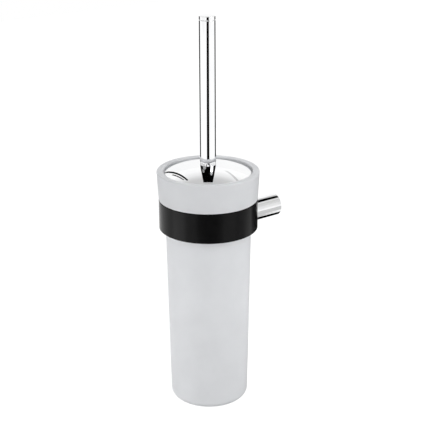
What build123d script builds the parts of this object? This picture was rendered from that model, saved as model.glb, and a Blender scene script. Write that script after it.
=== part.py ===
from build123d import *
import math
import os

# Wall-hung toilet brush set: a stepped frosted glass tumbler hangs in a black ring, a round post
# carries the ring off the wall, and a brush with a domed lid stands in the glass.
# Millimetres. The wall is the plane Y = 0 with the room at -Y, +Z is up, and the origin is where the
# post's axis meets the wall.

# ---- clearances
REST_GAP = 0.2          # between a piece that lifts off and the seat that it rests on
PRESS_GAP = 0.02        # radial, between pieces pressed or screwed together for good
THREAD_GAP = 0.03       # radial, between a screw and its hole
SLIP_GAP = 0.10         # radial, between the wall bracket and the post slipped over it
PASS_GAP = 0.36         # radial, between the glass and the sleeve that it drops through
LID_GAP = 1.0           # radial, between the lid and the mouth of the glass
CUT_PAST = 1.0          # how far a cutting shape runs past the face that it opens

# ---- post and wall bracket
RING_REACH = 87.7       # wall to the upright axis of ring, glass and brush
POST_R = 11.5
POST_WALL = 2.0
BRACKET_LENGTH = 11.0
BRACKET_HOLE_R = 2.6    # wall screw
BRACKET_SINK_R = 4.9    # countersink for its head
GRUB_R = 2.0
GRUB_FROM_WALL = 5.5
GRUB_GROOVE_DEPTH = 1.5
GRUB_RECESS = 0.3
GRUB_SOCKET_FLATS = 2.0
GRUB_SOCKET_DEPTH = 1.8
PLUG_LENGTH = 11.0      # threaded plug in the post's front end

# ---- ring
RING_HEIGHT = 30.5
RING_WALL = 3.0
RING_EDGE = 0.4
POST_BELOW_RING_MIDDLE = 10.5
LINER_WALL = 2.7
LINER_LIP = 0.6         # chamfer that guides the glass in
RING_SCREW_R = 2.5
RING_SCREW_HEAD_R = 4.6
RING_SCREW_HEAD_HEIGHT = 2.3
RING_SCREW_GRIP = 9.0   # thread length inside the plug
RING_SCREW_SOCKET_FLATS = 3.0
RING_SCREW_SOCKET_DEPTH = 1.6

# ---- glass
NECK_R = 43.9           # outside, just under the shoulder
BASE_R = 40.3           # outside, at the foot if its edge were sharp
GLASS_ABOVE_RING = 29.6
GLASS_BELOW_RING = 189.4
RIM_FLARE = 1.6         # how far the rim stands out past the ring
RIM_WALL = 7.2
RIM_ROUND = 1.3
SHOULDER_ROUND = 1.2
FOOT_ROUND = 7.0
LEDGE_DEPTH = 4.2       # rim down to the ledge that carries the lid
LEDGE_WIDTH = 2.8
NECK_WALL = 4.2
FLOOR_WALL = 4.0
FLOOR_THICKNESS = 12.0
FLOOR_ROUND = 6.0

# ---- lid
LID_SHEET = 1.0
LID_DOME_R = 120.0
LID_BELOW_RIM = 1.9     # rim down to the edge of the dome
LID_SKIRT = 1.3         # turned-down edge, measured from the edge of the dome
SEAL_WIDTH = 1.6
WASHER_R = 7.0
WASHER_HEIGHT = 1.0
SPRING_WASHER_R = 5.6
SPRING_WASHER_HEIGHT = 1.5
SPRING_WASHER_SPLIT = 1.0
NUT_FLATS = 10.0
NUT_HEIGHT = 5.0
NUT_CROWN_LOW_R = 5.2   # cone that rounds off the nut's lower corners, at its lower face
NUT_CROWN_TOP_R = 8.2   # and at its upper face

# ---- handle
HANDLE_R = 8.0
HANDLE_WALL = 1.0
HANDLE_ABOVE_RIM = 154.1
HANDLE_FOOT_EDGE = 0.2
CAP_HEIGHT = 4.0
CAP_EDGE = 0.5
CAP_SPIGOT = 9.0
SEAM_EDGE = 0.4         # fine groove between cap and handle
INSERT_LENGTH = 14.0
INSERT_EDGE = 0.6

# ---- rod and brush head
ROD_R = 3.0
ROD_IN_HANDLE = 11.0
ROD_IN_HEAD = 14.0
ROD_TIP_EDGE = 0.5
TIP_GAP = 9.0           # under the bristles, above the floor of the glass
TIP_BRISTLES = 12.0     # bristles that stand below the core
CORE_R = 9.0
CORE_LENGTH = 70.0
CORE_NECK_R = 6.5
CORE_NECK_LENGTH = 10.0
CORE_NOSE_ROUND = 3.0
CORE_INSERT_R = 4.6
CORE_INSERT_LENGTH = 16.0
BRISTLE_GAP = 2.2       # between the bristles and the bore of the glass
BRISTLE_TOP_STEP = 3.0  # bare core above the first tufts
BRISTLE_TOP_TAPER = 7.0
TIP_ROUND = 9.0

# ---- sizes that follow
ring_bottom = POST_BELOW_RING_MIDDLE - RING_HEIGHT / 2
ring_top = ring_bottom + RING_HEIGHT
liner_inner_r = NECK_R + PASS_GAP
liner_outer_r = liner_inner_r + LINER_WALL
ring_inner_r = liner_outer_r + PRESS_GAP * 2
ring_outer_r = ring_inner_r + RING_WALL
ring_back_y = -RING_REACH + ring_outer_r

shoulder_z = ring_top + REST_GAP
rim_z = ring_top + GLASS_ABOVE_RING
foot_z = ring_bottom - GLASS_BELOW_RING
rim_r = ring_outer_r + RIM_FLARE
mouth_r = rim_r - RIM_WALL
ledge_z = rim_z - LEDGE_DEPTH
ledge_r = mouth_r - LEDGE_WIDTH
floor_z = foot_z + FLOOR_THICKNESS
bore_neck_r = NECK_R - NECK_WALL

lid_r = mouth_r - LID_GAP
lid_edge_z = rim_z - LID_BELOW_RIM
lid_centre_z = lid_edge_z - math.sqrt(LID_DOME_R**2 - lid_r**2)
handle_foot_z = lid_centre_z + math.sqrt(LID_DOME_R**2 - HANDLE_R**2)
handle_top_z = rim_z + HANDLE_ABOVE_RIM
seam_z = handle_top_z - CAP_HEIGHT
handle_bore_r = HANDLE_R - HANDLE_WALL
lid_under_z = handle_foot_z - LID_SHEET
washer_z = lid_under_z - WASHER_HEIGHT
spring_washer_z = washer_z - SPRING_WASHER_HEIGHT
nut_z = spring_washer_z - NUT_HEIGHT

tip_z = floor_z + TIP_GAP
core_bottom_z = tip_z + TIP_BRISTLES
core_shoulder_z = core_bottom_z + CORE_LENGTH
core_top_z = core_shoulder_z + CORE_NECK_LENGTH


def outer_r(z):
    """Outside radius of the glass below its shoulder."""
    return BASE_R + (NECK_R - BASE_R) * (z - foot_z) / (shoulder_z - foot_z)


def bore_r(z):
    """Radius of the bore between the floor and the shoulder."""
    floor_r = outer_r(floor_z) - FLOOR_WALL
    return floor_r + (bore_neck_r - floor_r) * (z - floor_z) / (shoulder_z - floor_z)


bristle_r = bore_r(tip_z) - BRISTLE_GAP


# ---- helpers
def outline(*corners):
    """Face in the radius-height plane from (radius, height, rounding) corners."""
    face = make_face(Polyline(*[(r, z) for r, z, _ in corners], close=True))
    for r, z, rounding in corners:
        if rounding:
            corner = face.vertices().sort_by_distance((r, z, 0))[0]
            face = fillet(corner, rounding)
    return face


def turned(face):
    """Solid of revolution about the upright axis through ring, glass and brush."""
    solid = revolve(Plane.XZ * face, Axis.Z)
    return Pos(0, -RING_REACH, 0) * solid


def ring_shape(inner_r, outer_radius, low_z, high_z):
    """Plain ring, or a disc where inner_r is 0, about the upright axis."""
    return turned(outline((inner_r, low_z, 0), (outer_radius, low_z, 0),
                          (outer_radius, high_z, 0), (inner_r, high_z, 0)))


def along_post(radius, near_wall_y, far_y):
    """Cylinder on the post's axis between two distances from the wall."""
    length = near_wall_y - far_y
    return Pos(0, near_wall_y, 0) * Rot(90, 0, 0) * extrude(Circle(radius), length)


def saddle():
    """The ring's outer cylinder, which the front end of the post is cut to."""
    height = 2 * (POST_R + CUT_PAST)
    return Pos(0, -RING_REACH, 0) * Cylinder(ring_outer_r, height)


# ---- fixed to the wall
def wall_bracket():
    """Turned plug that is screwed to the wall, grooved for the grub screw."""
    radius = POST_R - POST_WALL - SLIP_GAP
    sink_depth = BRACKET_SINK_R - BRACKET_HOLE_R
    groove_half = GRUB_R + SLIP_GAP
    front_y = -BRACKET_LENGTH
    plug = along_post(radius, 0, front_y) - along_post(BRACKET_HOLE_R, 0, front_y)
    sink = Cone(BRACKET_SINK_R, BRACKET_HOLE_R, sink_depth, align=(Align.CENTER, Align.CENTER, Align.MIN))
    plug -= Pos(0, front_y, 0) * Rot(-90, 0, 0) * sink
    groove_y = -GRUB_FROM_WALL
    groove = along_post(radius + CUT_PAST, groove_y + groove_half, groove_y - groove_half)
    groove -= along_post(radius - GRUB_GROOVE_DEPTH, groove_y + groove_half, groove_y - groove_half)
    return plug - groove


def post_tube():
    """Chromed tube from the wall to the ring, its front end cut to the ring."""
    front_y = -RING_REACH + math.sqrt(ring_outer_r**2 - POST_R**2) - CUT_PAST
    tube = along_post(POST_R, 0, front_y) - along_post(POST_R - POST_WALL, 0, front_y)
    grub_hole = Cylinder(GRUB_R + THREAD_GAP, 2 * (POST_WALL + CUT_PAST))
    grub_hole = Pos(0, -GRUB_FROM_WALL, -POST_R) * grub_hole
    return tube - grub_hole - saddle()


def post_plug():
    """Threaded plug soldered into the front end of the post."""
    radius = POST_R - POST_WALL - PRESS_GAP
    rear_y = ring_back_y + PLUG_LENGTH
    front_y = ring_back_y - RING_WALL
    plug = along_post(radius, rear_y, front_y) - saddle()
    return plug - along_post(RING_SCREW_R + THREAD_GAP, rear_y, front_y)


def grub_screw():
    """Socket set screw, up through the underside of the post into the bracket's groove."""
    low_z = -POST_R + GRUB_RECESS
    high_z = -(POST_R - POST_WALL - SLIP_GAP - GRUB_GROOVE_DEPTH) - REST_GAP / 2
    body = extrude(Circle(GRUB_R), high_z - low_z)
    body = chamfer(body.edges().group_by(Axis.Z)[-1], GRUB_R / 4)
    socket = extrude(RegularPolygon(GRUB_SOCKET_FLATS / 2, 6, major_radius=False), GRUB_SOCKET_DEPTH)
    return Pos(0, -GRUB_FROM_WALL, low_z) * (body - socket)


def ring_screw_solid(gap):
    """Countersunk screw on the post's axis, larger by gap on the radius."""
    head_y = ring_back_y - RING_WALL
    head = Cone(RING_SCREW_HEAD_R + gap, RING_SCREW_R + gap, RING_SCREW_HEAD_HEIGHT,
                align=(Align.CENTER, Align.CENTER, Align.MIN))
    head = Pos(0, head_y, 0) * Rot(-90, 0, 0) * head
    return head + along_post(RING_SCREW_R + gap, ring_back_y + RING_SCREW_GRIP, head_y)


def ring_screw():
    """Screw that holds the ring to the post, put in from inside the ring."""
    head_y = ring_back_y - RING_WALL
    socket = extrude(RegularPolygon(RING_SCREW_SOCKET_FLATS / 2, 6, major_radius=False),
                     RING_SCREW_SOCKET_DEPTH)
    return ring_screw_solid(0) - Pos(0, head_y, 0) * Rot(-90, 0, 0) * socket


def support_ring():
    """Black band that carries the glass."""
    band = turned(outline((ring_inner_r, ring_bottom, 0), (ring_outer_r, ring_bottom, 0),
                          (ring_outer_r, ring_top, 0), (ring_inner_r, ring_top, 0)))
    edges = band.edges().filter_by(GeomType.CIRCLE)
    band = chamfer(edges.filter_by(lambda e: e.radius > ring_inner_r + RING_WALL / 2), RING_EDGE)
    head_y = ring_back_y - RING_WALL
    access = along_post(RING_SCREW_HEAD_R + THREAD_GAP, head_y, head_y - RING_WALL)
    return band - ring_screw_solid(THREAD_GAP) - access


def ring_liner():
    """Soft sleeve inside the ring, so that glass doesn't rub on metal."""
    return turned(outline((liner_inner_r, ring_bottom, 0), (liner_outer_r, ring_bottom, 0),
                          (liner_outer_r, ring_top, 0), (liner_inner_r + LINER_LIP, ring_top, 0),
                          (liner_inner_r, ring_top - LINER_LIP, 0)))


# ---- glass
def glass_tumbler():
    """Tumbler with a shoulder outside, which rests on the ring, and a ledge inside for the lid."""
    return turned(outline(
        (0, foot_z, 0),
        (BASE_R, foot_z, FOOT_ROUND),
        (NECK_R, shoulder_z, 0),
        (ring_outer_r, shoulder_z, SHOULDER_ROUND / 2),
        (rim_r, rim_z, RIM_ROUND),
        (mouth_r, rim_z, RIM_ROUND),
        (mouth_r, ledge_z, 0),
        (ledge_r, ledge_z, SHOULDER_ROUND),
        (bore_neck_r, shoulder_z, 0),
        (bore_r(floor_z), floor_z, FLOOR_ROUND),
        (0, floor_z, 0)))


# ---- brush: handle and lid
def handle_tube():
    """Chromed tube that stands on the lid."""
    return turned(outline((handle_bore_r, handle_foot_z, 0),
                          (HANDLE_R - HANDLE_FOOT_EDGE, handle_foot_z, 0),
                          (HANDLE_R, handle_foot_z + HANDLE_FOOT_EDGE, 0),
                          (HANDLE_R, seam_z - SEAM_EDGE, 0), (HANDLE_R - SEAM_EDGE, seam_z, 0),
                          (handle_bore_r, seam_z, 0)))


def handle_cap():
    """Turned cap with a spigot pressed into the top of the handle."""
    spigot_r = handle_bore_r - PRESS_GAP
    spigot_z = seam_z - CAP_SPIGOT
    return turned(outline((0, spigot_z, 0), (spigot_r, spigot_z, INSERT_EDGE), (spigot_r, seam_z, 0),
                          (HANDLE_R - SEAM_EDGE, seam_z, 0), (HANDLE_R, seam_z + SEAM_EDGE, 0),
                          (HANDLE_R, handle_top_z, CAP_EDGE), (0, handle_top_z, 0)))


def handle_insert():
    """Threaded brass plug in the foot of the handle."""
    radius = handle_bore_r - PRESS_GAP
    top_z = handle_foot_z + INSERT_LENGTH
    return turned(outline((ROD_R + THREAD_GAP, handle_foot_z, 0), (radius, handle_foot_z, 0),
                          (radius, top_z, INSERT_EDGE), (ROD_R + THREAD_GAP, top_z, 0)))


def lid():
    """Domed lid with a turned-down edge, flat where the handle stands on it."""
    hole_r = ROD_R + SLIP_GAP
    inner_r = lid_r - LID_SHEET
    inner_dome_r = LID_DOME_R - LID_SHEET
    inner_edge_z = lid_centre_z + math.sqrt(inner_dome_r**2 - inner_r**2)
    inner_land_r = math.sqrt(inner_dome_r**2 - (lid_under_z - lid_centre_z)**2)
    skirt_z = lid_edge_z - LID_SKIRT
    edges = [
        Line((hole_r, handle_foot_z), (HANDLE_R, handle_foot_z)),
        RadiusArc((HANDLE_R, handle_foot_z), (lid_r, lid_edge_z), LID_DOME_R),
        Polyline((lid_r, lid_edge_z), (lid_r, skirt_z), (inner_r, skirt_z), (inner_r, inner_edge_z)),
        RadiusArc((inner_r, inner_edge_z), (inner_land_r, lid_under_z), -inner_dome_r),
        Polyline((inner_land_r, lid_under_z), (hole_r, lid_under_z), (hole_r, handle_foot_z)),
    ]
    return turned(make_face(edges))


def lid_seal():
    """Soft ring between the lid's edge and the ledge in the glass."""
    return ring_shape(lid_r - SEAL_WIDTH, lid_r, ledge_z + REST_GAP, lid_edge_z - LID_SKIRT)


def lid_washer():
    """Flat washer under the lid."""
    return ring_shape(ROD_R + SLIP_GAP, WASHER_R, washer_z, lid_under_z)


def spring_washer():
    """Split lock washer between the flat washer and the nut."""
    split = Box(SPRING_WASHER_SPLIT, 2 * SPRING_WASHER_R, 2 * (SPRING_WASHER_HEIGHT + CUT_PAST))
    split = Pos(0, -RING_REACH - SPRING_WASHER_R, spring_washer_z) * split
    return ring_shape(ROD_R + SLIP_GAP, SPRING_WASHER_R, spring_washer_z, washer_z) - split


def lock_nut():
    """Hexagon nut that clamps the lid to the foot of the handle."""
    block = extrude(RegularPolygon(NUT_FLATS / 2, 6, major_radius=False), NUT_HEIGHT)
    block &= Cone(NUT_CROWN_LOW_R, NUT_CROWN_TOP_R, NUT_HEIGHT,
                  align=(Align.CENTER, Align.CENTER, Align.MIN))
    hole = extrude(Circle(ROD_R + THREAD_GAP), NUT_HEIGHT)
    return Pos(0, -RING_REACH, nut_z) * (block - hole)


def brush_rod():
    """Steel rod, threaded at both ends, from the handle to the brush head."""
    top_z = handle_foot_z + ROD_IN_HANDLE
    bottom_z = core_top_z - ROD_IN_HEAD
    return turned(outline((0, bottom_z, 0), (ROD_R, bottom_z, ROD_TIP_EDGE),
                          (ROD_R, top_z, ROD_TIP_EDGE), (0, top_z, 0)))


# ---- brush head, which unscrews from the rod
def brush_core():
    """Moulded core with a neck for the rod and a blind pocket for its threaded insert."""
    core = turned(outline((0, core_bottom_z, 0), (CORE_R, core_bottom_z, CORE_NOSE_ROUND),
                          (CORE_R, core_shoulder_z, 0), (CORE_NECK_R, core_top_z, CORE_NOSE_ROUND / 2),
                          (0, core_top_z, 0)))
    pocket = ring_shape(0, CORE_INSERT_R + PRESS_GAP, core_top_z - CORE_INSERT_LENGTH, core_top_z)
    return core - pocket


def core_insert():
    """Brass insert moulded into the neck of the core."""
    low_z = core_top_z - CORE_INSERT_LENGTH
    body = ring_shape(0, CORE_INSERT_R, low_z + REST_GAP / 2, core_top_z)
    bore = ring_shape(0, ROD_R + THREAD_GAP, core_top_z - ROD_IN_HEAD - REST_GAP, core_top_z)
    return body - bore


def side_bristles():
    """Space filled by the tufts that stand out round the core."""
    inner_r = CORE_R + PRESS_GAP
    top_z = core_shoulder_z - BRISTLE_TOP_STEP
    return turned(outline((inner_r, core_bottom_z, 0), (bristle_r, core_bottom_z, 0),
                          (bristle_r, top_z - BRISTLE_TOP_TAPER, 0), (inner_r, top_z, 0)))


def tip_bristles():
    """Space filled by the tufts that stand down from the end of the core."""
    return turned(outline((0, tip_z, 0), (bristle_r, tip_z, TIP_ROUND),
                          (bristle_r, core_bottom_z - PRESS_GAP, 0), (0, core_bottom_z - PRESS_GAP, 0)))


PIECES = [wall_bracket, post_tube, post_plug, grub_screw, support_ring, ring_screw, ring_liner,
          glass_tumbler,
          handle_tube, handle_cap, handle_insert, lid, lid_seal, lid_washer, spring_washer, lock_nut,
          brush_rod,
          brush_core, core_insert, side_bristles, tip_bristles]

os.makedirs("parts", exist_ok=True)
for piece in PIECES:
    export_step(piece(), f"parts/{piece.__name__}.step")
    print("wrote", piece.__name__)
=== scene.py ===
# %% [markdown]
# # A wall-hung toilet brush set
#
# The real object is a stepped tumbler of frosted glass that hangs in a satin black ring. A round
# chrome post carries the ring off the wall, and a brush with a straight chrome handle and a domed
# chrome lid stands in the glass.
#
# Everything that has a size was drawn before, in millimetres, and comes in as the frame. This script
# gives each piece its finish and its studio, and it builds the one thing that the frame only blocks
# in, the bristles.

import math
import random

import bmesh
import bpy
from mathutils import Matrix, Vector


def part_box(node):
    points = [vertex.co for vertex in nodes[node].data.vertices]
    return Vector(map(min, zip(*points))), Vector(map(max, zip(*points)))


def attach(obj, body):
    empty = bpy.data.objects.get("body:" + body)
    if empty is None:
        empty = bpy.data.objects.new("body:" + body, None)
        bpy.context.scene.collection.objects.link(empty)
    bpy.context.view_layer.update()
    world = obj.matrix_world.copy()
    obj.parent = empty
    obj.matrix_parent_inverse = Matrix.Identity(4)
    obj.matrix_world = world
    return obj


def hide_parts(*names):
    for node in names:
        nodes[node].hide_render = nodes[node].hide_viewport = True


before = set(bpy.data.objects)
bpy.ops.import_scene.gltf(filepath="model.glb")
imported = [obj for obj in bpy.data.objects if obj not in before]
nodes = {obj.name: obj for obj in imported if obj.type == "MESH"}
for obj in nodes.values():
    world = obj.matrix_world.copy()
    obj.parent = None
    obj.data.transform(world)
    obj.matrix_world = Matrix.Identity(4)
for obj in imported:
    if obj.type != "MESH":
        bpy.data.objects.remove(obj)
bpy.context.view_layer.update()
print("pieces in the frame:", len(nodes))

# %% [markdown]
# ## Measures
#
# Every place in this script is worked out from the frame's own boxes. One upright axis runs through
# the middle of the ring, and the glass, the lid, the handle and the brush head all share it.

# %% Measures taken from the frame
MM = 0.001
UP = Vector((0, 0, 1))

ring_low, ring_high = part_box("support_ring")
glass_low, glass_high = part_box("glass_tumbler")
axis_foot = Vector(((ring_low.x + ring_high.x) / 2, (ring_low.y + ring_high.y) / 2, 0))
print("the axis stands", round(-axis_foot.y / MM, 1), "mm off the wall")

# %% [markdown]
# ## Camera
#
# A long lens from a step away keeps the upright lines nearly parallel, as a catalogue picture does.
# The camera looks a little down, so that the mouth of the glass shows as a flat ellipse with the
# domed lid in it, and it stands to one side, so that the post comes out from behind the ring.

# %% Camera
VIEW_AZIMUTH = math.radians(53.1)   # from the line of the post round to the line of sight
VIEW_PITCH = math.radians(20.1)
VIEW_ROLL = math.radians(-0.3)
EYE_DISTANCE = 1.0204               # level, from the axis
EYE_ABOVE_RING = 0.3891
EYE_ASIDE = 0.0032
LENS = 91.2
SENSOR = 36.0

ahead = Vector((-math.sin(VIEW_AZIMUTH), math.cos(VIEW_AZIMUTH), 0))
aside = Vector((math.cos(VIEW_AZIMUTH), math.sin(VIEW_AZIMUTH), 0))
eye = axis_foot + UP * (ring_low.z + EYE_ABOVE_RING) - ahead * EYE_DISTANCE + aside * EYE_ASIDE
sight = ahead * math.cos(VIEW_PITCH) - UP * math.sin(VIEW_PITCH)

camera_data = bpy.data.cameras.new("camera")
camera_data.sensor_width = SENSOR
camera_data.lens = LENS
camera_data.clip_start = 0.05
camera_data.clip_end = 20
camera = bpy.data.objects.new("camera", camera_data)
bpy.context.scene.collection.objects.link(camera)
turn_to_sight = sight.to_track_quat("-Z", "Y").to_matrix().to_4x4()
camera.matrix_world = Matrix.Translation(eye) @ turn_to_sight @ Matrix.Rotation(VIEW_ROLL, 4, "Z")
bpy.context.scene.camera = camera
print("eye", [round(value, 3) for value in eye])

# %% [markdown]
# ## Helpers for finishes
#
# Each finish is one Principled shader. What is the same all over is set on the shader's own sockets,
# and what varies comes from noise in Object coordinates, so it stays put on the surface and has its
# true size in millimetres.

# %% Helpers for finishes
NOISE_RANGE = (0.3, 0.7)            # most of a noise lies in this range
TINT_RANGE = (0.35, 0.65)           # a tint reaches its two colours a little sooner


def new_finish(name, colour, roughness, metallic=0.0):
    """Starts a Principled material. Returns the material, its node tree and its shader."""
    material = bpy.data.materials.new(name)
    material.use_nodes = True
    tree = material.node_tree
    shader = tree.nodes["Principled BSDF"]
    shader.inputs["Base Color"].default_value = (*colour, 1)
    shader.inputs["Roughness"].default_value = roughness
    shader.inputs["Metallic"].default_value = metallic
    return material, tree, shader


def object_place(tree, stretch=(1, 1, 1), centre=(0, 0, 0)):
    """Object coordinates about a centre, each axis multiplied by its stretch."""
    place = tree.nodes.new("ShaderNodeTexCoord")
    mapping = tree.nodes.new("ShaderNodeMapping")
    mapping.inputs["Scale"].default_value = stretch
    mapping.inputs["Location"].default_value = [-c * s for c, s in zip(centre, stretch)]
    tree.links.new(place.outputs["Object"], mapping.inputs["Vector"])
    return mapping.outputs["Vector"]


def noise(tree, cell, detail=3.0, stretch=(1, 1, 1)):
    """Noise whose cells are about one cell across, in metres."""
    texture = tree.nodes.new("ShaderNodeTexNoise")
    texture.inputs["Scale"].default_value = 1 / cell
    texture.inputs["Detail"].default_value = detail
    tree.links.new(object_place(tree, stretch), texture.inputs["Vector"])
    return texture.outputs["Fac"]


def vary(tree, factor, socket, low, high):
    """Drives a number socket from a factor such as a noise, between low and high."""
    spread = tree.nodes.new("ShaderNodeMapRange")
    spread.inputs["From Min"].default_value = NOISE_RANGE[0]
    spread.inputs["From Max"].default_value = NOISE_RANGE[1]
    spread.inputs["To Min"].default_value = low
    spread.inputs["To Max"].default_value = high
    tree.links.new(factor, spread.inputs["Value"])
    tree.links.new(spread.outputs["Result"], socket)


def tint(tree, factor, socket, dark, light):
    """Drives a colour socket from a noise, between two colours."""
    ramp = tree.nodes.new("ShaderNodeValToRGB")
    for step, where, colour in zip(ramp.color_ramp.elements, TINT_RANGE, (dark, light)):
        step.position = where
        step.color = (*colour, 1)
    tree.links.new(factor, ramp.inputs["Fac"])
    tree.links.new(ramp.outputs["Color"], socket)


def emboss(tree, shader, factor, strength, height):
    """Raises and sinks the surface by a noise. The height is in metres."""
    node = tree.nodes.new("ShaderNodeBump")
    node.inputs["Strength"].default_value = strength
    node.inputs["Distance"].default_value = height
    tree.links.new(factor, node.inputs["Height"])
    tree.links.new(node.outputs["Normal"], shader.inputs["Normal"])


def give(material, *names):
    """Puts a finish on pieces of the frame."""
    for name in names:
        slots = nodes[name].data.materials
        slots.clear()
        slots.append(material)
    print(material.name, "on", ", ".join(names))


# %% [markdown]
# ## Chrome
#
# The handle, its cap, the lid and the post are brass or steel, polished and then chromium plated.
# Plating has no colour of its own to speak of, so almost all of its look is what it mirrors. It is
# never quite perfect: wiping leaves a faint unevenness in the gloss, and that is the noise here.

# %% Chrome
chrome, tree, shader = new_finish("chrome", (0.94, 0.945, 0.95), 0.03, metallic=1.0)
vary(tree, noise(tree, 9 * MM), shader.inputs["Roughness"], 0.012, 0.035)
tint(tree, noise(tree, 30 * MM), shader.inputs["Base Color"],
     dark=(0.92, 0.925, 0.935), light=(0.955, 0.958, 0.96))
give(chrome, "post_tube", "handle_tube", "handle_cap", "lid")

# %% [markdown]
# ## Satin black
#
# The ring is aluminium under a satin black coat. A baked coat is not flat when seen close: it has
# the fine, soft orange peel of paint that flowed and set. A low bump about a millimetre across
# breaks up the reflections, and the gloss drifts a little.

# %% Satin black
satin_black, tree, shader = new_finish("satin_black", (0.0016, 0.0016, 0.0018), 0.3)
shader.inputs["Specular IOR Level"].default_value = 0.13
vary(tree, noise(tree, 2.5 * MM), shader.inputs["Roughness"], 0.20, 0.26)
tint(tree, noise(tree, 12 * MM), shader.inputs["Base Color"],
     dark=(0.0012, 0.0012, 0.0014), light=(0.0022, 0.0022, 0.0024))
emboss(tree, shader, noise(tree, 1.2 * MM, detail=1), 0.06, 0.03 * MM)
give(satin_black, "support_ring")

# %% [markdown]
# ## Frosted glass
#
# The tumbler is thick clear glass, etched all over with acid. The etched skin scatters light, so
# the glass looks milky, lets a soft glow through, and has no sharp highlight. A rough surface that
# passes part of the light stands for it: the part that passes shows the brush only as a haze.
# The etch itself is a fine grain, about a third of a millimetre across. Above the ring the colour is
# made a shade deeper by the height: that is painted shade, standing in for the dimmer light on the
# upper glass.

# %% Frosted glass
def by_height(tree, low, high):
    """A factor that grows from 0 to 1 between two heights, in metres."""
    apart = tree.nodes.new("ShaderNodeSeparateXYZ")
    spread = tree.nodes.new("ShaderNodeMapRange")
    spread.inputs["From Min"].default_value = low
    spread.inputs["From Max"].default_value = high
    tree.links.new(object_place(tree), apart.inputs["Vector"])
    tree.links.new(apart.outputs["Z"], spread.inputs["Value"])
    return spread.outputs["Result"]


PAINTED_SHADE_ABOVE_RING = 0.92                  # painted shade: brightness of the glass above the ring
SHADE_EDGE = 2 * MM                 # the change lies within this distance of the ring's top

frosted_glass, tree, shader = new_finish("frosted_glass", (0.84, 0.865, 0.875), 0.55)
shader.inputs["Transmission Weight"].default_value = 0.35
shader.inputs["IOR"].default_value = 1.47
vary(tree, noise(tree, 3 * MM), shader.inputs["Roughness"], 0.40, 0.50)
# this node gives the glass its random tone and, above the ring, a painted shade
depth = tree.nodes.new("ShaderNodeHueSaturation")
tint(tree, noise(tree, 25 * MM), depth.inputs["Color"],
     dark=(0.80, 0.812, 0.832), light=(0.83, 0.842, 0.862))
painted_shade_mask = by_height(tree, ring_high.z - SHADE_EDGE, ring_high.z + SHADE_EDGE)
vary(tree, painted_shade_mask, depth.inputs["Value"], 1.0, PAINTED_SHADE_ABOVE_RING)
tree.links.new(depth.outputs["Color"], shader.inputs["Base Color"])
emboss(tree, shader, noise(tree, 0.35 * MM, detail=2), 0.25, 0.03 * MM)
give(frosted_glass, "glass_tumbler")

# %% [markdown]
# ## Plastics and rubber
#
# The liner that keeps the glass off the ring and the core of the brush are moulded from white
# plastic, which comes out of its mould with a fine grain and slightly cloudy colour. The lid's seal
# is silicone rubber, duller and softer.

# %% Plastics and rubber
def moulded(name, dark, light, gloss, grain):
    """A moulded surface: two close colours, a roughness and a grain in metres."""
    material, tree, shader = new_finish(name, light, gloss)
    tint(tree, noise(tree, 14 * MM), shader.inputs["Base Color"], dark, light)
    vary(tree, noise(tree, 4 * MM), shader.inputs["Roughness"], gloss - 0.05, gloss + 0.07)
    emboss(tree, shader, noise(tree, grain, detail=2), 0.2, grain * 0.1)
    return material


give(moulded("liner_plastic", (0.74, 0.74, 0.73), (0.79, 0.79, 0.78), 0.42, 0.5 * MM), "ring_liner")
give(moulded("core_plastic", (0.80, 0.80, 0.79), (0.84, 0.84, 0.83), 0.3, 0.7 * MM), "brush_core")
give(moulded("silicone", (0.60, 0.60, 0.59), (0.66, 0.66, 0.65), 0.7, 0.4 * MM), "lid_seal")

# %% [markdown]
# ## Turned and cast metal
#
# The small parts inside are bare metal. A lathe leaves fine rings round the axis of the part. They
# are modelled as noise that is squeezed along the axis, so each streak is under two tenths of a
# millimetre high and runs round the part.

# %% Turned and cast metal
def turned_metal(name, dark, light, gloss, stretch):
    """Bare metal with tool marks. The stretch is large along the axis that the marks cross."""
    material, tree, shader = new_finish(name, light, gloss, metallic=1.0)
    marks = noise(tree, 6 * MM, detail=4, stretch=stretch)
    tint(tree, marks, shader.inputs["Base Color"], dark, light)
    vary(tree, marks, shader.inputs["Roughness"], gloss - 0.08, gloss + 0.1)
    emboss(tree, shader, marks, 0.3, 0.02 * MM)
    return material


UPRIGHT_MARKS = (1, 1, 40)
WALL_MARKS = (1, 40, 1)
STEEL = ((0.44, 0.45, 0.46), (0.62, 0.63, 0.64), 0.28)
BRASS = ((0.52, 0.38, 0.15), (0.76, 0.60, 0.30), 0.27)
ZINC = ((0.42, 0.43, 0.45), (0.58, 0.59, 0.61), 0.42)

give(turned_metal("upright_steel", *STEEL, UPRIGHT_MARKS),
     "brush_rod", "lid_washer", "spring_washer", "lock_nut", "grub_screw")
give(turned_metal("level_steel", *STEEL, WALL_MARKS), "ring_screw")
give(turned_metal("upright_brass", *BRASS, UPRIGHT_MARKS), "handle_insert", "core_insert")
give(turned_metal("level_brass", *BRASS, WALL_MARKS), "post_plug")
give(turned_metal("zinc", *ZINC, WALL_MARKS), "wall_bracket")

# %% [markdown]
# ## Bristles
#
# A brush head has round tufts of nylon, pressed into holes in its core in even rows. Each tuft is a
# bundle of straight filaments that leave the hole together and spread a little on the way out. The
# rows are offset by half a step, so the tufts interlock, and the whole head is then cut round.
#
# A filament is a thin three-sided cone frustum whose tip is moved sideways, so that it leans. A few
# different tufts are made once and then copied to every hole, turned and stretched to reach the
# cut, because thousands of filaments built one by one would cost time and show no more.

# %% Measures of the bristles
core_low, core_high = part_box("brush_core")
side_low, side_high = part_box("side_bristles")
tip_low, tip_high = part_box("tip_bristles")

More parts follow.
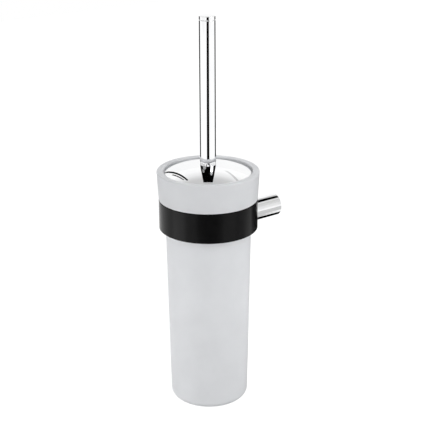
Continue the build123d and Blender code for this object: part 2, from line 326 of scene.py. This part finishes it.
CORE_RADIUS = (core_high.x - core_low.x) / 2
HEAD_RADIUS = (side_high.x - side_low.x) / 2
TOP_TAPER = 7 * MM
TIP_ROUND = 9 * MM
TUFT_ROOT = 1.2 * MM
TUFT_RADIUS = 1.6 * MM
TUFT_KINDS = 6
FILAMENTS_IN_TUFT = 24
FILAMENT_RADIUS = 0.27 * MM
FILAMENT_TAPER = 0.75               # radius of its tip, as a share of the radius of its root
OUTER_LEAN = 2.75 * MM              # how far the tip of an outer filament is moved outwards
TIP_STRAY = 0.8 * MM                # and how far, at most, a tip strays in x and in y
SHORTFALL = 0.035                   # share of the tuft's length by which a filament may fall short
GOLDEN_ANGLE = 2.39996              # in radians: places filaments evenly over the hole
print("head", round(HEAD_RADIUS / MM, 1), "mm round a core of", round(CORE_RADIUS / MM, 1), "mm")


# %% One tuft
def make_tuft(seed):
    """A tuft one metre long up +Z, to be scaled down along its length. Returns a mesh."""
    draw = random.Random(seed)
    shape = bmesh.new()
    for number in range(FILAMENTS_IN_TUFT):
        made = bmesh.ops.create_cone(shape, cap_ends=True, segments=3, radius1=FILAMENT_RADIUS,
                                     radius2=FILAMENT_RADIUS * FILAMENT_TAPER, depth=1)["verts"]
        bmesh.ops.translate(shape, vec=(0, 0, 0.5), verts=made)
        turn = number * GOLDEN_ANGLE + draw.uniform(-0.3, 0.3)
        outwards = Vector((math.cos(turn), math.sin(turn), 0))
        out = TUFT_RADIUS * math.sqrt((number + 0.5) / FILAMENTS_IN_TUFT)
        lean = outwards * (out / TUFT_RADIUS * OUTER_LEAN)
        shortening = UP * draw.uniform(-SHORTFALL, 0.0)
        stray = Vector((draw.uniform(-1, 1), draw.uniform(-1, 1), 0)) * TIP_STRAY
        top = [vert for vert in made if vert.co.z > 0.5]
        bmesh.ops.translate(shape, vec=shortening + lean + stray, verts=top)
        bmesh.ops.translate(shape, vec=outwards * out, verts=made)
    mesh = bpy.data.meshes.new(f"tuft_{seed}")
    shape.to_mesh(mesh)
    shape.free()
    return mesh


tufts = [make_tuft(seed) for seed in range(TUFT_KINDS)]
print("faces in a tuft:", len(tufts[0].polygons))


# %% Where the cut surface is
REACH_STEP = 0.25 * MM


def inside_head(point):
    """Whether a point is inside the shape that the head is cut to."""
    out = math.hypot(point.x - axis_foot.x, point.y - axis_foot.y)
    limit = HEAD_RADIUS
    if point.z > side_high.z - TOP_TAPER:
        share = (side_high.z - point.z) / TOP_TAPER
        limit = CORE_RADIUS + (HEAD_RADIUS - CORE_RADIUS) * max(share, 0)
    if point.z < tip_low.z + TIP_ROUND:
        drop = tip_low.z + TIP_ROUND - point.z
        limit = HEAD_RADIUS - TIP_ROUND + math.sqrt(max(TIP_ROUND ** 2 - drop ** 2, 0))
    return tip_low.z < point.z < side_high.z and out < limit


def reach(start, direction):
    """How far a filament goes from start along direction before it leaves the cut shape."""
    length = 0.0
    while inside_head(start + direction * (length + REACH_STEP)):
        length += REACH_STEP
    return length


# %% One tuft in its hole
TURN_OF_NEXT = 1.7                  # radians from copy to copy, so that they don't look alike


def plant(shape, hole, direction, number):
    """Copies a tuft into a hole, pointing along direction and as long as the cut shape allows."""
    length = reach(hole, direction)
    copy = tufts[number % len(tufts)].copy()
    aim = direction.to_track_quat("Z", "Y").to_matrix().to_4x4()
    turn = Matrix.Rotation(number * TURN_OF_NEXT, 4, "Z")
    stretch = Matrix.Diagonal((1, 1, length, 1))
    copy.transform(Matrix.Translation(hole) @ aim @ turn @ stretch)
    shape.from_mesh(copy)
    bpy.data.meshes.remove(copy)


# %% [markdown]
# The nylon is white and a little cloudy. Light goes into the filaments and comes out of their
# neighbours, so a small subsurface share keeps the head from looking like grey wire.

# %% Nylon
nylon, tree, shader = new_finish("nylon", (0.88, 0.88, 0.87), 0.42)
shader.inputs["Subsurface Weight"].default_value = 0.15
shader.inputs["Subsurface Scale"].default_value = 2 * MM
tint(tree, noise(tree, 3 * MM), shader.inputs["Base Color"],
     dark=(0.83, 0.83, 0.815), light=(0.90, 0.90, 0.895))
vary(tree, noise(tree, 1.5 * MM), shader.inputs["Roughness"], 0.36, 0.50)


# %% From a bmesh to a piece of the object
def make_object(name, shape, material):
    """Makes an object with one finish of a bmesh, and frees the bmesh."""
    mesh = bpy.data.meshes.new(name)
    shape.to_mesh(mesh)
    shape.free()
    mesh.materials.append(material)
    made = bpy.data.objects.new(name, mesh)
    bpy.context.scene.collection.objects.link(made)
    print(name, "has", len(mesh.polygons), "faces")
    return made


def finish_piece(name, shape, material, body, slot, *replaced):
    """Makes a piece of a bmesh and says which body it rides on and what it replaces."""
    piece = make_object(name, shape, material)
    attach(piece, body)
    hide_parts(*replaced)


# %% [markdown]
# The side tufts stand straight out of the core. Under it, rings of tufts lean outwards, the more so
# the nearer they are to its edge, so that the two sets meet round the corner.

# %% Tufts round the core
ROWS = 13
TUFTS_IN_ROW = 12
ROW_MARGIN = 3 * MM                 # foot of the core to the first row, last row to the cut top
row_step = (side_high.z - core_low.z - 2 * ROW_MARGIN) / (ROWS - 1)

shape = bmesh.new()
for row in range(ROWS):
    height = core_low.z + ROW_MARGIN + row * row_step
    for place in range(TUFTS_IN_ROW):
        angle = 2 * math.pi * (place + 0.5 * (row % 2)) / TUFTS_IN_ROW
        outwards = Vector((math.cos(angle), math.sin(angle), 0))
        hole = axis_foot + outwards * (CORE_RADIUS - TUFT_ROOT) + UP * height
        plant(shape, hole, outwards, row * TUFTS_IN_ROW + place)
finish_piece("side_tufts", shape, nylon, "head", "bristles", "side_bristles")

# %% Tufts under the core
# radius of a ring of holes, tufts in it, degrees that they lean outwards
RINGS_BELOW = ((0.0, 1, 0), (3.2 * MM, 6, 24), (6.6 * MM, 12, 50), (8.2 * MM, 16, 74))

shape = bmesh.new()
planted = 0
for radius, tufts_in_ring, degrees in RINGS_BELOW:
    lean = math.radians(degrees)
    for place in range(tufts_in_ring):
        angle = 2 * math.pi * (place + 0.25) / tufts_in_ring
        outwards = Vector((math.cos(angle), math.sin(angle), 0))
        hole = axis_foot + outwards * radius + UP * (core_low.z + TUFT_ROOT)
        plant(shape, hole, outwards * math.sin(lean) - UP * math.cos(lean), planted)
        planted += 1
finish_piece("tip_tufts", shape, nylon, "head", "bristles", "tip_bristles")
for tuft in tufts:
    bpy.data.meshes.remove(tuft)

# %% [markdown]
# ## Studio
#
# A white room lights the object evenly from all sides, and three soft lamps add some direction.
# Chrome in a white room would vanish, so black flags stand round it: each one is mirrored as a dark
# line that draws the tube's shape. The flags here are matt black boards, and the cards are grey
# ones. Only reflections see them, so they take no light from the glass and never stand in a view.

# %% White room and floor
FLOOR_DROP = 0.35                   # the set hangs on a wall, so the floor is well below it
FLOOR_REACH = 4.0                   # from its middle to each side
ROOM_LIGHT = 1.0
floor_z = glass_low.z - FLOOR_DROP

world = bpy.data.worlds.new("white_room")
world.use_nodes = True
background = world.node_tree.nodes["Background"]
background.inputs["Color"].default_value = (1, 1, 1, 1)
background.inputs["Strength"].default_value = ROOM_LIGHT
bpy.context.scene.world = world
bpy.context.scene.view_settings.view_transform = "Standard"

floor_paint, tree, shader = new_finish("floor_paint", (0.97, 0.97, 0.97), 0.9)
shader.inputs["Specular IOR Level"].default_value = 0.1
tint(tree, noise(tree, 400 * MM), shader.inputs["Base Color"],
     dark=(0.96, 0.96, 0.96), light=(0.975, 0.975, 0.975))

shape = bmesh.new()
bmesh.ops.create_grid(shape, x_segments=1, y_segments=1, size=FLOOR_REACH)
bmesh.ops.translate(shape, vec=(0, 0, floor_z), verts=shape.verts)
make_object("floor", shape, floor_paint)


# %% Lamps
def stand_lamp(lamp_data, energy, azimuth, distance, height):
    """Stands a lamp azimuth degrees from the camera, round the axis, and aims it at the ring."""
    lamp_data.energy = energy
    lamp = bpy.data.objects.new(lamp_data.name, lamp_data)
    bpy.context.scene.collection.objects.link(lamp)
    turn = math.radians(azimuth)
    away = -ahead * math.cos(turn) + aside * math.sin(turn)
    lamp.location = axis_foot + away * distance + UP * height
    lamp.rotation_euler = (axis_foot - lamp.location).to_track_quat("-Z", "Y").to_euler()
    print(lamp.name, "at", [round(value, 2) for value in lamp.location])


sky = bpy.data.lights.new("sky", "SUN")
sky.angle = math.radians(50)
side_lamp = bpy.data.lights.new("side_lamp", "AREA")
side_lamp.size = 0.35
fill_lamp = bpy.data.lights.new("fill_lamp", "AREA")
fill_lamp.size = 0.4

stand_lamp(sky, energy=0.35, azimuth=40, distance=0.6, height=1.6)
stand_lamp(side_lamp, energy=1.7, azimuth=58, distance=0.85, height=0.5)
stand_lamp(fill_lamp, energy=0.6, azimuth=-70, distance=0.6, height=-0.35)


# %% [markdown]
# A board's paint is one grey, or a row of greys along the board's run. The run is an attribute of
# the board's mesh: metres of height on an upright board, metres from left to right on a level one.
#
# Some boards must show only where one chrome piece mirrors another. Light Path counts how often a
# ray of light has been turned, so their paint lets a first reflection pass and stops a second.

# %% Paint for the boards
def board_paint(name, tones, second_mirror=False):
    """Matt paint in grey tones, listed as (metres of the board's run, tone).

    With second_mirror, a reflection passes through the board, and only a reflection in a
    reflection stops at it.
    """
    material, tree, shader = new_finish(name, (tones[0][1],) * 3, 1.0)
    shader.inputs["Specular IOR Level"].default_value = 0.0
    if len(tones) > 1:
        start = tones[0][0]
        span = tones[-1][0] - start
        place = tree.nodes.new("ShaderNodeAttribute")
        place.attribute_name = "run"
        spread = tree.nodes.new("ShaderNodeMapRange")
        spread.inputs["From Min"].default_value = start
        spread.inputs["From Max"].default_value = start + span
        ramp = tree.nodes.new("ShaderNodeValToRGB")
        while len(ramp.color_ramp.elements) < len(tones):
            ramp.color_ramp.elements.new(1.0)
        for step, (where, tone) in zip(ramp.color_ramp.elements, tones):
            step.position = (where - start) / span
            step.color = (tone, tone, tone, 1)
        tree.links.new(place.outputs["Fac"], spread.inputs["Value"])
        tree.links.new(spread.outputs["Result"], ramp.inputs["Fac"])
        tree.links.new(ramp.outputs["Color"], shader.inputs["Base Color"])
    if second_mirror:
        path = tree.nodes.new("ShaderNodeLightPath")
        later = tree.nodes.new("ShaderNodeMath")
        later.operation = "GREATER_THAN"
        later.inputs[1].default_value = 1.5     # between the first turn and the second
        clear = tree.nodes.new("ShaderNodeBsdfTransparent")
        mix = tree.nodes.new("ShaderNodeMixShader")
        tree.links.new(path.outputs["Ray Depth"], later.inputs[0])
        tree.links.new(later.outputs["Value"], mix.inputs["Fac"])
        tree.links.new(clear.outputs["BSDF"], mix.inputs[1])
        tree.links.new(shader.outputs["BSDF"], mix.inputs[2])
        tree.links.new(mix.outputs["Shader"], tree.nodes["Material Output"].inputs["Surface"])
    return material


# %% Boards
BOARD_STRIPS = 12                   # strips along a board's run, so that its greys follow it


def stand_board(name, shape, material, azimuth=0, seen_by="glossy"):
    """Puts a board round the axis, azimuth degrees from the camera. Only seen_by sees it."""
    spin = Matrix.Rotation(VIEW_AZIMUTH + math.radians(azimuth), 4, "Z")
    bmesh.ops.transform(shape, matrix=Matrix.Translation(axis_foot) @ spin, verts=shape.verts)
    board = make_object(name, shape, material)
    board.visible_camera = False
    board.visible_glossy = seen_by == "glossy"
    board.visible_diffuse = seen_by == "diffuse"
    board.visible_transmission = seen_by == "diffuse"
    board.visible_shadow = False


def upright_board(name, material, azimuth, distance, width, low, high,
                  top_width=None, top_shift=0.0):
    """A board that stands facing the axis. Its top may be narrower, wider or shifted."""
    shape = bmesh.new()
    bmesh.ops.create_grid(shape, x_segments=1, y_segments=BOARD_STRIPS, size=0.5)
    run = shape.verts.layers.float.new("run")
    for vert in shape.verts:
        share = vert.co.y + 0.5
        vert[run] = low + share * (high - low)
        vert.co.x *= 1 + share * ((top_width or width) / width - 1)
        vert.co.x += share * top_shift / width
    bmesh.ops.scale(shape, vec=(width, high - low, 1), verts=shape.verts)
    bmesh.ops.rotate(shape, matrix=Matrix.Rotation(math.pi / 2, 3, "X"), verts=shape.verts)
    bmesh.ops.translate(shape, vec=(0, -distance, (low + high) / 2), verts=shape.verts)
    stand_board(name, shape, material, azimuth)


def level_board(name, material, left, right, front, back, height,
                azimuth=0, seen_by="glossy", right_shift=0.0):
    """A board that lies level, its sides given in metres from the axis.

    With azimuth 0, front is towards the camera. The right end may be shifted to the back.
    """
    shape = bmesh.new()
    bmesh.ops.create_grid(shape, x_segments=BOARD_STRIPS, y_segments=1, size=0.5)
    run = shape.verts.layers.float.new("run")
    for vert in shape.verts:
        share = vert.co.x + 0.5
        vert[run] = left + share * (right - left)
        vert.co.y += share * right_shift / (back - front)
    bmesh.ops.scale(shape, vec=(right - left, back - front, 1), verts=shape.verts)
    middle = ((right + left) / 2, (back + front) / 2, height)
    bmesh.ops.translate(shape, vec=middle, verts=shape.verts)
    stand_board(name, shape, material, azimuth, seen_by)


BLACK = 0.001
black_paint = board_paint("black_board", [(0, BLACK)])

# %% [markdown]
# The handle stands upright, so upright boards draw its lines. One a little to the right of the
# camera makes the black line down the handle, and its foot and a wider one below it make the dark
# middle of the ring. Two boards behind make the handle's dark edges.

# %% Flags for the handle and the ring
upright_board("flag_line", black_paint, azimuth=2.5, distance=1.2, width=0.78,
              low=-0.334, high=0.10, top_width=0.67, top_shift=0.16)
upright_board("flag_ring", black_paint, azimuth=3.0, distance=1.15, width=1.30,
              low=-0.52, high=-0.345)
upright_board("flag_edge_left", black_paint, azimuth=-143.5, distance=1.2, width=1.145,
              low=-0.36, high=0.05)
upright_board("flag_edge_right", black_paint, azimuth=143.5, distance=1.2, width=1.145,
              low=-0.52, high=0.05)

# %% [markdown]
# Those flags end low, where an eye that looks down on the handle mirrors them. An eye at the height
# of the ring or under it mirrors what stands higher, so narrow flags stand there all round. They
# leave out the part straight behind, which the lid mirrors towards the camera.

# %% Flags for eyes below the ring
for azimuth in (-130, -95, -60, -25, 20, 140):
    upright_board(f"flag_low_{azimuth + 180}", black_paint, azimuth=azimuth, distance=1.3,
                  width=0.26, low=0.06, high=0.95)

# %% [markdown]
# Behind the object stand two narrow dark stands. The curved edge of the lid mirrors them towards
# the camera, as two thin arcs.

# %% Stands that the edge of the lid mirrors
upright_board("stand_near", black_paint, azimuth=-163.2, distance=1.25, width=0.034,
              low=0.36, high=1.45, top_shift=0.050)
upright_board("stand_far", black_paint, azimuth=-160.4, distance=1.27, width=0.022,
              low=0.70, high=1.32, top_shift=0.030)

# %% [markdown]
# The lid mirrors the foot of the handle, and the handle mirrors the lid again. There it shows a
# dark room with a few grey things in it. Only the second reflection stops at these boards, so the
# lid itself stays bright from every side.

# %% The room in the second mirror
ROOM_RADIUS = 1.0
ROOM_LOW = 0.45
ROOM_HIGH = 1.59

shape = bmesh.new()
bmesh.ops.create_cone(shape, cap_ends=False, segments=48, radius1=ROOM_RADIUS,
                      radius2=ROOM_RADIUS, depth=ROOM_HIGH - ROOM_LOW)
bmesh.ops.translate(shape, vec=(0, 0, (ROOM_HIGH + ROOM_LOW) / 2), verts=shape.verts)
stand_board("room_wall", shape, board_paint("room_board", [(0, BLACK)], second_mirror=True))

# name, azimuth, width, low, high, tone
ROOM_GREYS = (("room_left_low", -56, 1.74, 0.378, 0.634, 0.33),
              ("room_left", -84, 0.71, 0.634, 0.805, 0.28),
              ("room_right", 64, 1.86, 0.378, 0.95, 0.50))
for name, azimuth, width, low, high, tone in ROOM_GREYS:
    upright_board(name, board_paint(name, [(0, tone)], second_mirror=True), azimuth=azimuth,
                  distance=0.9, width=width, low=low, high=high)

# %% [markdown]
# The ceiling is a round board that is dark in its middle and white at its rim. The domed lid
# mirrors it, so the lid shades softly from white at the back to grey at the front. The paint needs
# points between the middle and the rim, so the spokes of the circle are cut.

# %% Ceiling
CEILING_RADIUS = 3.4
CEILING_HEIGHT = 1.7
CEILING_TONES = [(0.0, 0.30), (0.3, 0.33), (0.5, 0.42), (0.8, 0.48),
                 (1.35, 0.60), (1.75, 0.82), (2.3, 0.98), (CEILING_RADIUS, 1.0)]

shape = bmesh.new()
bmesh.ops.create_circle(shape, cap_ends=True, cap_tris=True, segments=64, radius=CEILING_RADIUS)
spokes = [edge for edge in shape.edges if len(edge.link_faces) == 2]
bmesh.ops.subdivide_edges(shape, edges=spokes, cuts=12)
run = shape.verts.layers.float.new("run")
for vert in shape.verts:
    vert[run] = vert.co.length
bmesh.ops.translate(shape, vec=(0, 0, CEILING_HEIGHT), verts=shape.verts)
stand_board("ceiling", shape, board_paint("ceiling_board", CEILING_TONES))

# %% [markdown]
# The post lies level, so what it mirrors goes round it from the floor, up the room to its right and
# over the top. A tall card to the right makes its light grey side. Two small cards close by fill
# the low part of that side, where a taller card would grey the handle too.

# %% Cards for the side of the post
SIDE_TONES = [(0.05, 0.88), (0.3, 0.79), (0.58, 0.77), (0.8, 0.69), (1.3, 0.65), (1.69, 0.56)]
low_paint = board_paint("low_board", [(0, 0.68)])

upright_board("card_side", board_paint("side_board", SIDE_TONES), azimuth=72, distance=1.5,
              width=2.2, low=0.05, high=1.69)
upright_board("card_near", low_paint, azimuth=83, distance=0.3, width=0.2,
              low=-0.080, high=-0.036)
upright_board("card_low", low_paint, azimuth=79, distance=0.5, width=0.3,
              low=-0.157, high=-0.12)

# %% [markdown]
# Overhead, a black board makes the dark line at the post's upper edge, and a narrow slanting card
# next to it makes the grey band above the line. Both lie just under the ceiling. On the floor, a
# black strip and two cards make the dark line and the greys of the underside.

# %% Boards over and under the post
ALONG_POST = 180 - math.degrees(VIEW_AZIMUTH)   # lays a board's sides along and across the post
UNDER_CEILING = 1.66
TOP_TONES = [(0.74, 0.50), (1.80, 0.80)]
floor_top = floor_z + 5 * MM

level_board("flag_post_top", black_paint, left=-0.22, right=0.74, front=-1.45, back=-1.25,
            height=UNDER_CEILING, azimuth=ALONG_POST)
level_board("card_post_top", board_paint("top_board", TOP_TONES), left=0.74, right=1.80,
            front=-1.49, back=-1.39, height=UNDER_CEILING, azimuth=ALONG_POST, right_shift=-0.46)
level_board("flag_post_foot", black_paint, left=-0.02, right=0.45, front=0.15, back=1.1,
            height=floor_top)
level_board("card_floor_side", board_paint("floor_board", [(0, 0.52)]), left=0.60, right=1.40,
            front=-0.50, back=0.05, height=floor_top)
level_board("card_floor_near", board_paint("near_board", [(0, 0.30)]), left=0.20, right=0.60,
            front=-0.45, back=0.14, height=floor_top)

# %% [markdown]
# Only the soft light sees the last board. It lies under the glass and keeps a little of the floor's
# light from its foot, as the wall and the things under a hung glass do.

# %% Shade under the glass
SHADE_REACH = 0.16
SHADE_DROP = 0.13
level_board("shade_below", black_paint, left=-SHADE_REACH, right=SHADE_REACH,
            front=-SHADE_REACH, back=SHADE_REACH, height=glass_low.z - SHADE_DROP,
            seen_by="diffuse")
